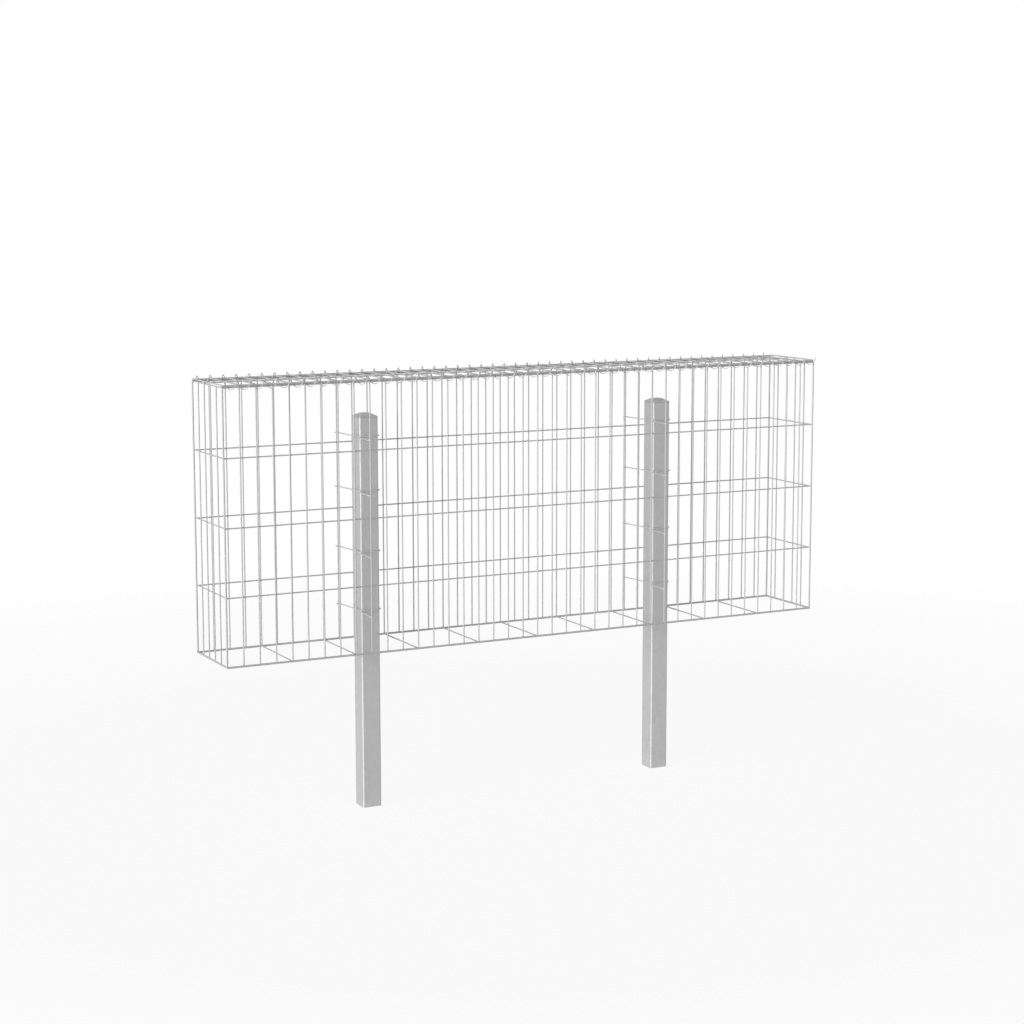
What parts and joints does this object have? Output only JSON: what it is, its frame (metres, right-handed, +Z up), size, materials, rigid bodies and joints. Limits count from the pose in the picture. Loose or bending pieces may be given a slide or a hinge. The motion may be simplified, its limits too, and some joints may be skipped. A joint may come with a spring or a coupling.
{
  "type": "gabion wall basket on posts",
  "caption": "Empty welded-mesh gabion wall basket with a laced lid, held upright by square tube posts that run down out of it into the ground.",
  "frame": {"origin": "centre of the left post's foot, where the tube ends in the ground", "axes": "+X along the wall to the right post, +Y to the back of the wall, +Z up"},
  "size_m": [2.0102, 0.2763, 1.3179],
  "materials": {
    "mesh_wire": "galvanised",
    "spiral_wire": "galvanised",
    "post_steel": "galvanised",
    "tie_wire": "galvanised",
    "cap_plastic": "matte"
  },
  "bodies": {
    "root": {"front_panel": "mesh_wire", "back_panel": "mesh_wire", "left_end_panel": "mesh_wire", "right_end_panel": "mesh_wire", "lid_panel": "mesh_wire", "bottom_cross_wires": "mesh_wire", "bottom_edge_wires": "mesh_wire", "front_spiral": "spiral_wire", "back_spiral": "spiral_wire", "left_post": "post_steel", "right_post": "post_steel", "left_post_cap": "cap_plastic", "right_post_cap": "cap_plastic", "left_stirrup_1": "tie_wire", "left_stirrup_2": "tie_wire", "left_stirrup_3": "tie_wire", "left_stirrup_4": "tie_wire", "right_stirrup_1": "tie_wire", "right_stirrup_2": "tie_wire", "right_stirrup_3": "tie_wire", "right_stirrup_4": "tie_wire", "left_front_tie_1": "tie_wire", "left_front_tie_2": "tie_wire", "left_front_tie_3": "tie_wire", "left_front_tie_4": "tie_wire", "right_front_tie_1": "tie_wire", "right_front_tie_2": "tie_wire", "right_front_tie_3": "tie_wire", "right_front_tie_4": "tie_wire"}
  },
  "joints": []
}
